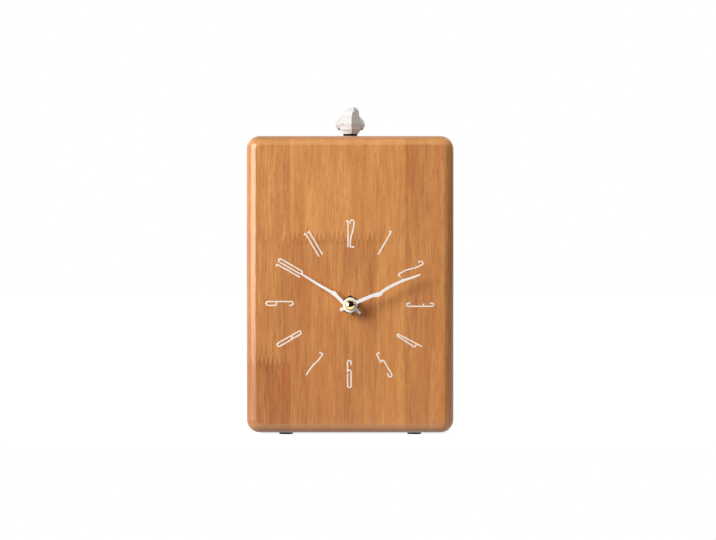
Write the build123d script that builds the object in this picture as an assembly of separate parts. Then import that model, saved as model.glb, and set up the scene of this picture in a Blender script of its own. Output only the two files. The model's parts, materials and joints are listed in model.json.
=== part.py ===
from build123d import *
import math
import os

# Desk pendulum clock: a wooden block with a quartz movement in a pocket routed from the back.
# Its pendulum is a bird on a swing arm, which comes up through a slot in the case top.
# Millimetres. Seen from the front, X is to the right and Z is up. The front faces -Y.
# Z = 0 is the table.

# Wooden case
CASE_WIDTH = 125.0
CASE_HEIGHT = 179.2
CASE_DEPTH = 60.0
CASE_CORNER_RADIUS = 8.0
FRONT_ROUNDING = CASE_CORNER_RADIUS - 0.2  # just under the corner radius, so that the corners stay round
FACE_PLANING = 0.3  # taken off the face after its edges are rounded, which leaves a crisp line
REAR_ROUNDING = 2.5
FRONT_WALL = 12.0
SIDE_WALL = 16.0
TOP_WALL = 12.0
BOTTOM_WALL = 14.0
POCKET_CORNER_RADIUS = 8.0
POCKET_EDGE = 0.8
SHAFT_HEIGHT = 77.2  # hand shaft above the case underside

# Foot pads
FOOT_RADIUS = 4.15
FOOT_HEIGHT = 1.2
FOOT_SPACING = 77.8  # between left and right
FOOT_INSET = 14.0  # from the front and rear of the case

# Fits, all radial or per side
RUNNING_FIT = 0.05
SEAT_FIT = 0.02
BUSH_HOLE_CLEARANCE = 0.3

# Hand stack on the front of the case
BUSH_RADIUS = 4.0
BUSH_FLANGE_RADIUS = 5.5
BUSH_FLANGE_THICKNESS = 0.5
BUSH_PROUD = 1.3  # beyond the hex nut
HEX_NUT_FLATS = 10.0
HEX_NUT_THICKNESS = 2.5
HEX_NUT_CHAMFER = 0.5
RUBBER_WASHER_RADIUS = 10.0
RUBBER_WASHER_THICKNESS = 1.0
HOUR_PIPE_RADIUS = 2.5
HOUR_PIPE_PROUD = 0.6  # beyond the hour hand
MINUTE_ARBOR_RADIUS = 1.6
MINUTE_SEAT_RADIUS = 1.3  # where the hand and the cap nut sit
HAND_THICKNESS = 0.8
HAND_HUB_RADIUS = 4.45
HAND_COLLET_RADIUS = 3.4
HOUR_HAND_LIFT = 1.6  # above the bush
MINUTE_HAND_LIFT = 1.0  # above the hour pipe
CAP_NUT_RADIUS = 3.2
CAP_NUT_SKIRT = 0.6
CAP_NUT_CROWN = 0.9  # thickness of metal over the shaft's end
MINUTE_HAND_ANGLE = 66.5  # clockwise from twelve
HOUR_HAND_ANGLE = 302.6

# Twig centre lines: distance from the shaft, offset to the left of the hand, half width
MINUTE_TWIG = [
    (-6.7, -0.35, 0.9),
    (0.0, 0.0, 1.0),
    (14.4, -0.1, 1.0),
    (17.9, -0.9, 1.3),
    (19.6, -0.7, 0.9),
    (23.3, 0.3, 0.85),
    (28.8, 0.75, 0.8),
    (33.2, 0.85, 0.7),
    (34.5, 1.0, 0.95),
    (36.2, 0.75, 0.65),
    (40.8, 0.25, 0.6),
    (46.0, 0.0, 0.45),
]
MINUTE_THORN = [(17.0, -1.3, 0.8), (20.1, -2.0, 0.3)]
HOUR_TWIG = [
    (-7.8, 0.9, 0.8),
    (-4.0, 0.3, 1.0),
    (0.0, 0.0, 1.1),
    (4.6, 1.0, 1.0),
    (9.6, -0.2, 1.0),
    (12.0, -0.6, 1.3),
    (14.2, -0.5, 0.85),
    (22.8, -0.1, 0.75),
    (34.5, 0.0, 0.45),
]
HOUR_THORN = [(10.4, -0.9, 0.7), (12.4, -2.0, 0.3)]

# Movement shells, placed from the hand shaft
SHELL_WIDTH = 56.0
SHELL_ABOVE = 28.0
SHELL_BELOW = 29.0
SHELL_DEPTH = 17.0
SHELL_WALL = 1.5
SHELL_CORNER_RADIUS = 4.0
SHELL_EDGE = 0.8
NECK_WIDTH = 32.0
NECK_ABOVE_PIVOT = 10.0
BAY_WALL = 1.0  # between the battery bay and the wheels

# Wheel train, counted in levels from the front shell
WHEEL_THICKNESS = 1.0
WHEEL_GAP = 0.7
PINION_OVERHANG = 0.2
ARBOR_RADIUS = 0.5
ARBOR_END_SHAKE = 0.2
PIVOT_RADIUS = 0.3
PIVOT_LENGTH = 0.6
PIVOT_HOLE_DEPTH = 0.8
TOOTH_ROOT_SHARE = 0.56  # of the tooth pitch
TOOTH_TIP_SHARE = 0.26
ADDENDUM_SHARE = 0.75  # of the module
DEDENDUM_SHARE = 1.1
CANNON_TEETH = 12
MOTION_WHEEL_TEETH = 36
MOTION_PINION_TEETH = 10
HOUR_WHEEL_TEETH = 40
SETTING_TEETH = 12
MOTION_DISTANCE = 11.0  # hand shaft to motion wheel
MOTION_ANGLE = 0.0
SETTING_ANGLE = 50.0
CENTRE_WHEEL_TEETH = 64
THIRD_PINION_TEETH = 8
THIRD_WHEEL_TEETH = 60
SECONDS_PINION_TEETH = 8
THIRD_DISTANCE = 10.2  # hand shaft to third wheel
THIRD_ANGLE = 60.0
SECONDS_WHEEL_TEETH = 40
FIFTH_PINION_TEETH = 8
FIFTH_DISTANCE = 10.56  # hand shaft to fifth wheel
FIFTH_ANGLE = 150.0
FIFTH_WHEEL_TEETH = 48
ROTOR_PINION_TEETH = 8
ROTOR_DISTANCE = 8.4  # fifth wheel to rotor
ROTOR_ANGLE = 170.0
CLUTCH_SEAT_RADIUS = 1.2
CLUTCH_HUB_RADIUS = 2.0
SETTING_ARBOR_RADIUS = 1.5
KNOB_RADIUS = 6.0
KNOB_HEIGHT = 4.0
KNOB_GAP = 0.4
KNOB_FLUTES = 12
KNOB_FLUTE_RADIUS = 0.9

# Stepping motor
MAGNET_RADIUS = 2.2
MAGNET_THICKNESS = 2.0
STATOR_AIR_GAP = 0.4
STATOR_RING = 1.2
STATOR_THICKNESS = 1.0
STATOR_ARM_RADIUS = 1.5
MOTOR_COIL_RADIUS = 2.6
MOTOR_COIL_LENGTH = 7.8
MOTOR_WALL_GAP = 0.2  # core to the left wall of the shell
MOTOR_COIL_RISE = 17.0  # above the hand shaft
MOTOR_CORE_WIDTH = 3.0
MOTOR_CORE_THICKNESS = 1.0
MOTOR_CORE_LENGTH = 20.0
SPOOL_WALL = 0.5
STATOR_PEG_RADIUS = 1.2

# Circuit board
BOARD_CLEARANCE = 0.1  # to the side walls of the shell
BOARD_HEIGHT = 6.2
BOARD_CORNER_RADIUS = 2.6
BOARD_RISE = 23.2  # above the hand shaft
BOARD_THICKNESS = 1.0
BOARD_DEPTH = 9.0  # its front face, from the front of the movement
BOARD_PEG_SPACING = 36.0
BOARD_PEG_RADIUS = 1.5
CRYSTAL_RADIUS = 1.5
CRYSTAL_LENGTH = 6.0
CHIP_RADIUS = 2.4
CHIP_HEIGHT = 1.0
CHIP_X = 9.0

# AA cell and its contacts: the cell fills the movement's width
CELL_RADIUS = 7.25
CELL_NUB_RADIUS = 2.75
CELL_NUB_LENGTH = 1.0
CELL_EDGE = 0.6
BAY_CLEARANCE = 0.4
CONTACT_THICKNESS = 0.5
CONTACT_BOW = 1.5  # of the leaf at the negative end
CONTACT_WIDTH = 8.0
CONTACT_TAIL_WIDTH = 2.0
CONTACT_TAIL_CLEARANCE = 0.2

# Pendulum
PIVOT_RISE = 62.0  # above the hand shaft
PIN_RADIUS = 1.0
PIN_BOSS_RADIUS = 4.0
PIN_BOSS_PROUD = 0.5
HUB_RADIUS = 4.6
HUB_LENGTH = 5.0
HUB_END_SHAKE = 0.3
CLIP_RADIUS = 2.6
CLIP_THICKNESS = 0.6
PIN_PROUD = 0.5
ARM_WIDTH = 8.5
ARM_THICKNESS = 2.4
ARM_SHELL_GAP = 1.8  # between the rear shell and the arm
TONGUE_WIDTH = 5.0
TONGUE_HEIGHT = 7.0
DRIVE_RADIUS = 25.0  # pivot to magnet
DRIVE_MAGNET_RADIUS = 5.0
DRIVE_MAGNET_PROUD = 0.6  # of the arm, towards the coil
ARM_RING = 3.0  # rim round the magnet
WEIGHT_RADIUS = 9.0
WEIGHT_THICKNESS = 5.0
WEIGHT_EDGE = 0.8
DRIVE_COIL_RADIUS = 7.5
DRIVE_COIL_LENGTH = 6.0
DRIVE_POST_RADIUS = 2.0
SLOT_LENGTH = 24.0
SLOT_WIDTH = 7.0

# Bird, in its own frame: x across, y from breast to tail, z above its underside
BIRD_LIFT = 2.6  # above the case top
# Body and head from the underside up:
# z, x of the middle, half width, x and y of the breast ridge, y of the flanks, y of the back
BIRD_BODY = [
    (0.0, 0.0, 5.0, 0.8, -4.6, 0.6, 5.4),
    (2.6, 0.0, 6.3, 0.8, -7.4, 1.2, 9.0),
    (6.0, 0.0, 6.7, 0.8, -8.8, 1.4, 12.0),
    (9.6, 0.1, 5.9, 0.8, -8.0, 0.8, 9.0),
    (11.9, 0.4, 5.0, 1.3, -6.8, -0.8, 4.6),
    (13.8, 0.8, 4.5, 2.0, -7.4, -1.4, 3.4),
    (15.4, 1.2, 3.2, 2.3, -5.6, -1.4, 2.4),
    (16.4, 1.2, 1.6, 2.0, -3.2, -1.2, 0.8),
]
BIRD_BACK_SHARE = 0.55  # back edges of the body, of the half width
# Beak and tail: y, x and z of the middle, half width, half height
BIRD_BEAK = [(-5.4, 1.6, 13.2, 1.5, 1.3), (-10.6, 2.3, 12.8, 0.15, 0.15)]
BIRD_TAIL = [(7.0, 0.0, 6.6, 2.6, 1.6), (20.0, 0.0, 8.6, 4.0, 0.5)]
# Wings: the fullest section, and the share of it that is left at each y along the wing
BIRD_WING_OUTLINE = [(3.4, 11.4), (6.4, 10.6), (8.3, 8.6), (9.1, 5.6), (7.9, 3.0), (4.6, 2.2)]
BIRD_WING_ROOT = (4.2, 6.2)  # x and z that the sections shrink towards
BIRD_WING = [(-2.2, 0.1), (2.6, 0.72), (7.4, 1.0), (17.0, 0.16)]

# Places worked out from the sizes above
CAP_NUT_HEIGHT = CAP_NUT_SKIRT + CAP_NUT_RADIUS
HANDS_REACH = (
    HEX_NUT_THICKNESS
    + BUSH_PROUD
    + HOUR_HAND_LIFT
    + HAND_THICKNESS
    + HOUR_PIPE_PROUD
    + MINUTE_HAND_LIFT
    + HAND_THICKNESS
    + CAP_NUT_HEIGHT
)
FRONT_Y = (HANDS_REACH - CASE_DEPTH) / 2  # the whole clock is centred on Y = 0
REAR_Y = FRONT_Y + CASE_DEPTH
NUT_Y = FRONT_Y - HEX_NUT_THICKNESS
BUSH_Y = NUT_Y - BUSH_PROUD
HOUR_HAND_Y = BUSH_Y - HOUR_HAND_LIFT
HOUR_PIPE_Y = HOUR_HAND_Y - HAND_THICKNESS - HOUR_PIPE_PROUD
MINUTE_HAND_Y = HOUR_PIPE_Y - MINUTE_HAND_LIFT
CAP_BACK_Y = MINUTE_HAND_Y - HAND_THICKNESS
CAP_FRONT_Y = CAP_BACK_Y - CAP_NUT_HEIGHT
MOVEMENT_Y = FRONT_Y + FRONT_WALL + RUBBER_WASHER_THICKNESS
CHAMBER_FRONT_Y = MOVEMENT_Y + SHELL_WALL
CHAMBER_REAR_Y = MOVEMENT_Y + SHELL_DEPTH - SHELL_WALL
SHELL_REAR_Y = MOVEMENT_Y + SHELL_DEPTH
ARM_FRONT_Y = SHELL_REAR_Y + ARM_SHELL_GAP
ARM_REAR_Y = ARM_FRONT_Y + ARM_THICKNESS
ARM_Y = (ARM_FRONT_Y + ARM_REAR_Y) / 2

CASE_BOTTOM_Z = FOOT_HEIGHT
CASE_TOP_Z = CASE_BOTTOM_Z + CASE_HEIGHT
SHAFT_Z = CASE_BOTTOM_Z + SHAFT_HEIGHT
PIVOT_Z = SHAFT_Z + PIVOT_RISE
DRIVE_Z = PIVOT_Z - DRIVE_RADIUS
BIRD_Z = CASE_TOP_Z + BIRD_LIFT
BAY_BOTTOM_Z = SHAFT_Z - SHELL_BELOW + SHELL_WALL
BAY_TOP_Z = BAY_BOTTOM_Z + 2 * (CELL_RADIUS + BAY_CLEARANCE)
BAY_LENGTH = SHELL_WIDTH - 2 * SHELL_WALL
CELL_LENGTH = BAY_LENGTH - 2 * CONTACT_THICKNESS - CONTACT_BOW
CELL_Z = (BAY_BOTTOM_Z + BAY_TOP_Z) / 2
CELL_Y = CHAMBER_FRONT_Y + BAY_CLEARANCE + CELL_RADIUS
BOARD_Y = MOVEMENT_Y + BOARD_DEPTH
BOARD_Z = SHAFT_Z + BOARD_RISE
COIL_Z = SHAFT_Z + MOTOR_COIL_RISE
MOTOR_COIL_X = SHELL_WALL + MOTOR_WALL_GAP + (MOTOR_CORE_LENGTH - SHELL_WIDTH) / 2


def polar(start, distance, angle):
    """Point at a distance and an angle, counted from the right, counter-clockwise."""
    turn = math.radians(angle)
    return (start[0] + distance * math.cos(turn), start[1] + distance * math.sin(turn))


SHAFT = (0.0, SHAFT_Z)
PIVOT = (0.0, PIVOT_Z)
DRIVE = (0.0, DRIVE_Z)
MOTION = polar(SHAFT, MOTION_DISTANCE, MOTION_ANGLE)
SETTING_DISTANCE = MOTION_DISTANCE * (MOTION_WHEEL_TEETH + SETTING_TEETH) / (
    MOTION_WHEEL_TEETH + CANNON_TEETH
)
SETTING = polar(MOTION, SETTING_DISTANCE, SETTING_ANGLE)
THIRD = polar(SHAFT, THIRD_DISTANCE, THIRD_ANGLE)
FIFTH = polar(SHAFT, FIFTH_DISTANCE, FIFTH_ANGLE)
ROTOR = polar(FIFTH, ROTOR_DISTANCE, ROTOR_ANGLE)


def plate(outline, front, rear):
    """Outline drawn as seen from the front, made solid from one depth to another."""
    return extrude(Plane.XZ.offset(-rear) * outline, rear - front)


def rod(radius, front, rear, at):
    return plate(Pos(*at) * Circle(radius), front, rear)


def tube(radius, bore, front, rear, at):
    return plate(Pos(*at) * (Circle(radius) - Circle(bore)), front, rear)


def bar(outline, left, right):
    """Outline drawn in depth and height, made solid from left to right."""
    return extrude(Plane.YZ.offset(left) * outline, right - left)


def wheel_faces(level):
    """Front and rear of the wheel at a level of the train."""
    front = CHAMBER_FRONT_Y + WHEEL_GAP + level * (WHEEL_THICKNESS + WHEEL_GAP)
    return front, front + WHEEL_THICKNESS


def pinion_faces(level):
    front, rear = wheel_faces(level)
    return front - PINION_OVERHANG, rear + PINION_OVERHANG


def direction(start, end):
    return math.degrees(math.atan2(end[1] - start[1], end[0] - start[0]))


def meshing_phase(teeth, at, mate_teeth, mate_at, mate_phase):
    """Angle of a gear's first tooth, so that its gaps take the teeth of its mate."""
    mate_pitch = 360 / mate_teeth
    share = (direction(mate_at, at) - mate_phase) / mate_pitch
    return direction(at, mate_at) - (0.5 - share) * 360 / teeth


def gear(teeth, module, phase, at, faces):
    """Straight-flanked gear with a tooth centred on the phase angle."""
    pitch = 360 / teeth
    tip = module * (teeth / 2 + ADDENDUM_SHARE)
    root = module * (teeth / 2 - DEDENDUM_SHARE)
    flank = [
        (root, -TOOTH_ROOT_SHARE),
        (tip, -TOOTH_TIP_SHARE),
        (tip, TOOTH_TIP_SHARE),
        (root, TOOTH_ROOT_SHARE),
    ]
    points = [
        polar(at, radius, phase + (tooth + share / 2) * pitch)
        for tooth in range(teeth)
        for radius, share in flank
    ]
    return plate(Polygon(*points, align=None), *faces)


def arbor(at):
    """Plain wheel arbor with a thin pivot in each shell."""
    front = CHAMBER_FRONT_Y + ARBOR_END_SHAKE
    rear = CHAMBER_REAR_Y - ARBOR_END_SHAKE
    pivots = rod(PIVOT_RADIUS, CHAMBER_FRONT_Y - PIVOT_LENGTH, CHAMBER_REAR_Y + PIVOT_LENGTH, at)
    return rod(ARBOR_RADIUS, front, rear, at) + pivots


# Teeth in mesh, from one gear to the next
MOTION_MODULE = 2 * MOTION_DISTANCE / (CANNON_TEETH + MOTION_WHEEL_TEETH)
HOUR_MODULE = 2 * MOTION_DISTANCE / (MOTION_PINION_TEETH + HOUR_WHEEL_TEETH)
CENTRE_MODULE = 2 * THIRD_DISTANCE / (CENTRE_WHEEL_TEETH + THIRD_PINION_TEETH)
THIRD_MODULE = 2 * THIRD_DISTANCE / (THIRD_WHEEL_TEETH + SECONDS_PINION_TEETH)
SECONDS_MODULE = 2 * FIFTH_DISTANCE / (SECONDS_WHEEL_TEETH + FIFTH_PINION_TEETH)
FIFTH_MODULE = 2 * ROTOR_DISTANCE / (FIFTH_WHEEL_TEETH + ROTOR_PINION_TEETH)
MOTION_PHASE = meshing_phase(MOTION_WHEEL_TEETH, MOTION, CANNON_TEETH, SHAFT, 0)
SETTING_PHASE = meshing_phase(SETTING_TEETH, SETTING, MOTION_WHEEL_TEETH, MOTION, MOTION_PHASE)
HOUR_PHASE = meshing_phase(HOUR_WHEEL_TEETH, SHAFT, MOTION_PINION_TEETH, MOTION, 0)
THIRD_PINION_PHASE = meshing_phase(THIRD_PINION_TEETH, THIRD, CENTRE_WHEEL_TEETH, SHAFT, 0)
SECONDS_PINION_PHASE = meshing_phase(SECONDS_PINION_TEETH, SHAFT, THIRD_WHEEL_TEETH, THIRD, 0)
FIFTH_PINION_PHASE = meshing_phase(FIFTH_PINION_TEETH, FIFTH, SECONDS_WHEEL_TEETH, SHAFT, 0)
ROTOR_PINION_PHASE = meshing_phase(ROTOR_PINION_TEETH, ROTOR, FIFTH_WHEEL_TEETH, FIFTH, 0)
HOUR_LEVEL, MOTION_LEVEL, CENTRE_LEVEL, THIRD_LEVEL, SECONDS_LEVEL, FIFTH_LEVEL, MOTOR_LEVEL = range(7)
MAGNET_FRONT_Y = wheel_faces(MOTOR_LEVEL)[0] - PINION_OVERHANG
MAGNET_REAR_Y = MAGNET_FRONT_Y + MAGNET_THICKNESS
STATOR_FRONT_Y = (MAGNET_FRONT_Y + MAGNET_REAR_Y - STATOR_THICKNESS) / 2
STATOR_REAR_Y = STATOR_FRONT_Y + STATOR_THICKNESS
CORE_Y = STATOR_FRONT_Y - MOTOR_CORE_THICKNESS / 2
STATOR_ENDS = [
    (MOTOR_COIL_X + side * (MOTOR_CORE_LENGTH / 2 - STATOR_ARM_RADIUS), COIL_Z) for side in (-1, 1)
]
BOARD_PEGS = [(side * BOARD_PEG_SPACING / 2, BOARD_Z) for side in (-1, 1)]


# Case and feet


def wood_case():
    middle_z = CASE_BOTTOM_Z + CASE_HEIGHT / 2
    outline = Pos(0, middle_z) * RectangleRounded(CASE_WIDTH, CASE_HEIGHT, CASE_CORNER_RADIUS)
    block = plate(outline, FRONT_Y - FACE_PLANING, REAR_Y)
    block = fillet(block.faces().sort_by(Axis.Y)[0].edges(), FRONT_ROUNDING)
    block -= plate(outline, FRONT_Y - FACE_PLANING, FRONT_Y)
    block = fillet(block.faces().sort_by(Axis.Y)[-1].edges(), REAR_ROUNDING)
    pocket_width = CASE_WIDTH - 2 * SIDE_WALL
    pocket_height = CASE_HEIGHT - TOP_WALL - BOTTOM_WALL
    pocket_z = CASE_BOTTOM_Z + BOTTOM_WALL + pocket_height / 2
    pocket = Pos(0, pocket_z) * RectangleRounded(pocket_width, pocket_height, POCKET_CORNER_RADIUS)
    block -= plate(pocket, FRONT_Y + FRONT_WALL, REAR_Y)
    block = chamfer(block.faces().sort_by(Axis.Y)[-1].inner_wires()[0].edges(), POCKET_EDGE)
    block -= rod(BUSH_RADIUS + BUSH_HOLE_CLEARANCE, FRONT_Y, FRONT_Y + FRONT_WALL, SHAFT)
    slot = Pos(0, ARM_Y) * SlotOverall(SLOT_LENGTH, SLOT_WIDTH)
    block -= extrude(Plane.XY.offset(CASE_TOP_Z - TOP_WALL) * slot, TOP_WALL)
    return block


def foot_pads():
    pads = [
        Pos(side * FOOT_SPACING / 2, y) * extrude(Circle(FOOT_RADIUS), FOOT_HEIGHT)
        for side in (-1, 1)
        for y in (FRONT_Y + FOOT_INSET, REAR_Y - FOOT_INSET)
    ]
    return Compound(children=pads)


# Hands and what clamps them


def twig(stations):
    """Flat twig along a centre line, with a half width at each station and a blunt tip."""
    left, right = [], []
    for index, (along, aside, half_width) in enumerate(stations):
        before = stations[max(index - 1, 0)]
        after = stations[min(index + 1, len(stations) - 1)]
        slope = math.atan2(after[1] - before[1], after[0] - before[0])
        step = (-half_width * math.sin(slope), half_width * math.cos(slope))
        left.append((along + step[0], aside + step[1]))
        right.append((along - step[0], aside - step[1]))
    return Polygon(*right, *reversed(left), align=None)


def hand(stations, thorn, angle, bore, rear):
    outline = Circle(HAND_HUB_RADIUS) + twig(stations) + twig(thorn) - Circle(bore)
    turned = Pos(*SHAFT) * Rot(0, 0, 90 - angle) * outline
    return plate(turned, rear - HAND_THICKNESS, rear)


def hour_hand():
    bore = HOUR_PIPE_RADIUS + SEAT_FIT
    collet = tube(HAND_COLLET_RADIUS, bore, HOUR_HAND_Y, HOUR_HAND_Y + HOUR_HAND_LIFT / 2, SHAFT)
    return hand(HOUR_TWIG, HOUR_THORN, HOUR_HAND_ANGLE, bore, HOUR_HAND_Y) + collet


def minute_hand():
    bore = MINUTE_SEAT_RADIUS + SEAT_FIT
    return hand(MINUTE_TWIG, MINUTE_THORN, MINUTE_HAND_ANGLE, bore, MINUTE_HAND_Y)


def cap_nut():
    """Domed nut with a blind bore, turned about the hand shaft."""
    bore = MINUTE_SEAT_RADIUS + SEAT_FIT
    bore_end = CAP_NUT_CROWN - CAP_NUT_HEIGHT
    dome = CenterArc((0, -CAP_NUT_SKIRT), CAP_NUT_RADIUS, -90, 90)
    inside = Polyline(
        (CAP_NUT_RADIUS, -CAP_NUT_SKIRT),
        (CAP_NUT_RADIUS, 0),
        (bore, 0),
        (bore, bore_end),
        (0, bore_end),
        (0, -CAP_NUT_HEIGHT),
    )
    seat = Plane(origin=(0, CAP_BACK_Y, SHAFT_Z), x_dir=(1, 0, 0), z_dir=(0, 0, 1))
    return revolve(seat * make_face(dome + inside), Axis(seat.origin, (0, 1, 0)))


def hex_nut():
    corner_radius = HEX_NUT_FLATS / math.sqrt(3)
    outline = RegularPolygon(corner_radius, 6, rotation=30)
    nut = plate(Pos(*SHAFT) * outline, NUT_Y, FRONT_Y)
    turned = rod(corner_radius, NUT_Y, FRONT_Y, SHAFT)
    nut &= chamfer(turned.faces().sort_by(Axis.Y)[0].edges(), HEX_NUT_CHAMFER)
    return nut - rod(BUSH_RADIUS + SEAT_FIT, NUT_Y, FRONT_Y, SHAFT)


def rubber_washer():
    front = FRONT_Y + FRONT_WALL
    return tube(RUBBER_WASHER_RADIUS, BUSH_RADIUS + SEAT_FIT, front, MOVEMENT_Y, SHAFT)


def threaded_bush():
    bore = HOUR_PIPE_RADIUS + RUNNING_FIT
    flange_rear = CHAMBER_FRONT_Y + BUSH_FLANGE_THICKNESS
    flange = tube(BUSH_FLANGE_RADIUS, bore, CHAMBER_FRONT_Y, flange_rear, SHAFT)
    return tube(BUSH_RADIUS, bore, BUSH_Y, flange_rear, SHAFT) + flange


# Movement shells


def shell_outline():
    """Square movement box with a narrower neck that carries the pendulum."""
    height = SHELL_ABOVE + SHELL_BELOW
    box = Pos(0, SHAFT_Z - SHELL_BELOW + height / 2) * RectangleRounded(
        SHELL_WIDTH, height, SHELL_CORNER_RADIUS
    )
    neck_top = PIVOT_Z + NECK_ABOVE_PIVOT
    neck = Pos(0, (SHAFT_Z + neck_top) / 2) * RectangleRounded(
        NECK_WIDTH, neck_top - SHAFT_Z, SHELL_CORNER_RADIUS
    )
    outline = box + neck
    inner_corner = (NECK_WIDTH / 2, SHAFT_Z + SHELL_ABOVE)
    corners = [
        corner
        for corner in outline.vertices()
        if math.dist((abs(corner.X), corner.Y), inner_corner) < SEAT_FIT
    ]
    return fillet(corners, SHELL_CORNER_RADIUS)


def pivot_holes(front, rear, places):
    return [rod(PIVOT_RADIUS + RUNNING_FIT, front, rear, at) for at in places]


def movement_front_shell():
    shell = plate(shell_outline(), MOVEMENT_Y, CHAMBER_FRONT_Y)
    shell -= rod(BUSH_RADIUS + SEAT_FIT, MOVEMENT_Y, CHAMBER_FRONT_Y, SHAFT)
    front_turned = (MOTION, THIRD, FIFTH, ROTOR, SETTING)
    return shell - pivot_holes(CHAMBER_FRONT_Y - PIVOT_HOLE_DEPTH, CHAMBER_FRONT_Y, front_turned)


def contact_tail(side, clearance):
    """Strip up the side wall from a battery contact to the circuit board."""
    wall_x = BAY_LENGTH / 2
    width = CONTACT_TAIL_WIDTH + 2 * clearance
    thickness = CONTACT_THICKNESS + clearance
    x = side * (wall_x - thickness / 2)
    rear = BOARD_Y + clearance
    outline = Pos(x, (BAY_TOP_Z + BOARD_Z) / 2) * Rectangle(thickness, BOARD_Z - BAY_TOP_Z)
    return plate(outline, rear - width, rear)


def movement_rear_shell():
    outline = shell_outline()
    shell = plate(outline, CHAMBER_FRONT_Y, SHELL_REAR_Y)
    shell = chamfer(shell.faces().sort_by(Axis.Y)[-1].edges(), SHELL_EDGE)
    floor_z = BAY_TOP_Z + BAY_WALL
    above_bay = Pos(0, floor_z + CASE_HEIGHT / 2) * Rectangle(CASE_WIDTH, CASE_HEIGHT)
    shell -= plate(offset(outline, -SHELL_WALL) & above_bay, CHAMBER_FRONT_Y, CHAMBER_REAR_Y)
    bay = Pos(0, CELL_Z) * Rectangle(BAY_LENGTH, BAY_TOP_Z - BAY_BOTTOM_Z)
    shell -= plate(bay, CHAMBER_FRONT_Y, SHELL_REAR_Y)
    for side in (-1, 1):
        shell -= contact_tail(side, CONTACT_TAIL_CLEARANCE)
    shell += rod(PIN_BOSS_RADIUS, CHAMBER_FRONT_Y, SHELL_REAR_Y + PIN_BOSS_PROUD, PIVOT)
    shell += rod(DRIVE_POST_RADIUS, CHAMBER_REAR_Y - DRIVE_COIL_LENGTH, CHAMBER_REAR_Y, DRIVE)
    shell += [rod(BOARD_PEG_RADIUS, BOARD_Y + BOARD_THICKNESS, CHAMBER_REAR_Y, at) for at in BOARD_PEGS]
    shell += [rod(STATOR_PEG_RADIUS, STATOR_REAR_Y, CHAMBER_REAR_Y, at) for at in STATOR_ENDS]
    rear_turned = (MOTION, THIRD, SHAFT, FIFTH, ROTOR)
    shell -= pivot_holes(CHAMBER_REAR_Y, CHAMBER_REAR_Y + PIVOT_HOLE_DEPTH, rear_turned)
    shell -= rod(SETTING_ARBOR_RADIUS + RUNNING_FIT, CHAMBER_REAR_Y, SHELL_REAR_Y, SETTING)
    shell -= rod(PIN_RADIUS + SEAT_FIT, CHAMBER_FRONT_Y, SHELL_REAR_Y + PIN_BOSS_PROUD, PIVOT)
    return shell


# Wheel train


def minute_arbor():
    """Hand shaft with the cannon pinion and, behind it, the seat of the slipping centre wheel."""
    pinion = pinion_faces(MOTION_LEVEL)
    seat_rear = pinion_faces(CENTRE_LEVEL)[1]
    arbor_body = rod(MINUTE_ARBOR_RADIUS, MINUTE_HAND_Y, pinion[1], SHAFT)
    seat_front = CAP_FRONT_Y + CAP_NUT_CROWN + RUNNING_FIT
    arbor_body += rod(MINUTE_SEAT_RADIUS, seat_front, MINUTE_HAND_Y, SHAFT)
    arbor_body += gear(CANNON_TEETH, MOTION_MODULE, 0, SHAFT, pinion)
    arbor_body += rod(CLUTCH_SEAT_RADIUS, pinion[1], seat_rear, SHAFT)
    return arbor_body - rod(PIVOT_RADIUS + RUNNING_FIT, seat_rear - PIVOT_HOLE_DEPTH, seat_rear, SHAFT)


def hour_wheel():
    bore = MINUTE_ARBOR_RADIUS + RUNNING_FIT
    faces = wheel_faces(HOUR_LEVEL)
    wheel = gear(HOUR_WHEEL_TEETH, HOUR_MODULE, HOUR_PHASE, SHAFT, faces)
    wheel += rod(HOUR_PIPE_RADIUS, HOUR_PIPE_Y, faces[1], SHAFT)
    return wheel - rod(bore, HOUR_PIPE_Y, faces[1], SHAFT)


def motion_wheel():
    wheel = gear(MOTION_WHEEL_TEETH, MOTION_MODULE, MOTION_PHASE, MOTION, wheel_faces(MOTION_LEVEL))
    pinion_span = (pinion_faces(HOUR_LEVEL)[0], wheel_faces(MOTION_LEVEL)[0])
    return wheel + gear(MOTION_PINION_TEETH, HOUR_MODULE, 0, MOTION, pinion_span) + arbor(MOTION)


def setting_arbor():
    pinion = gear(SETTING_TEETH, MOTION_MODULE, SETTING_PHASE, SETTING, pinion_faces(MOTION_LEVEL))
    shaft_rear = SHELL_REAR_Y + KNOB_GAP + KNOB_HEIGHT / 2
    shaft_front = CHAMBER_FRONT_Y + ARBOR_END_SHAKE
    shaft = rod(SETTING_ARBOR_RADIUS, shaft_front, shaft_rear, SETTING)
    return pinion + shaft + rod(PIVOT_RADIUS, CHAMBER_FRONT_Y - PIVOT_LENGTH, shaft_front, SETTING)


def setting_knob():
    front = SHELL_REAR_Y + KNOB_GAP
    outline = Circle(KNOB_RADIUS) - PolarLocations(KNOB_RADIUS, KNOB_FLUTES) * Circle(KNOB_FLUTE_RADIUS)
    knob = plate(Pos(*SETTING) * outline, front, front + KNOB_HEIGHT)
    return knob - rod(SETTING_ARBOR_RADIUS + SEAT_FIT, front, front + KNOB_HEIGHT / 2, SETTING)


def centre_wheel():
    wheel = gear(CENTRE_WHEEL_TEETH, CENTRE_MODULE, 0, SHAFT, wheel_faces(CENTRE_LEVEL))
    wheel += rod(CLUTCH_HUB_RADIUS, *pinion_faces(CENTRE_LEVEL), SHAFT)
    return wheel - rod(CLUTCH_SEAT_RADIUS + RUNNING_FIT, *pinion_faces(CENTRE_LEVEL), SHAFT)


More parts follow.
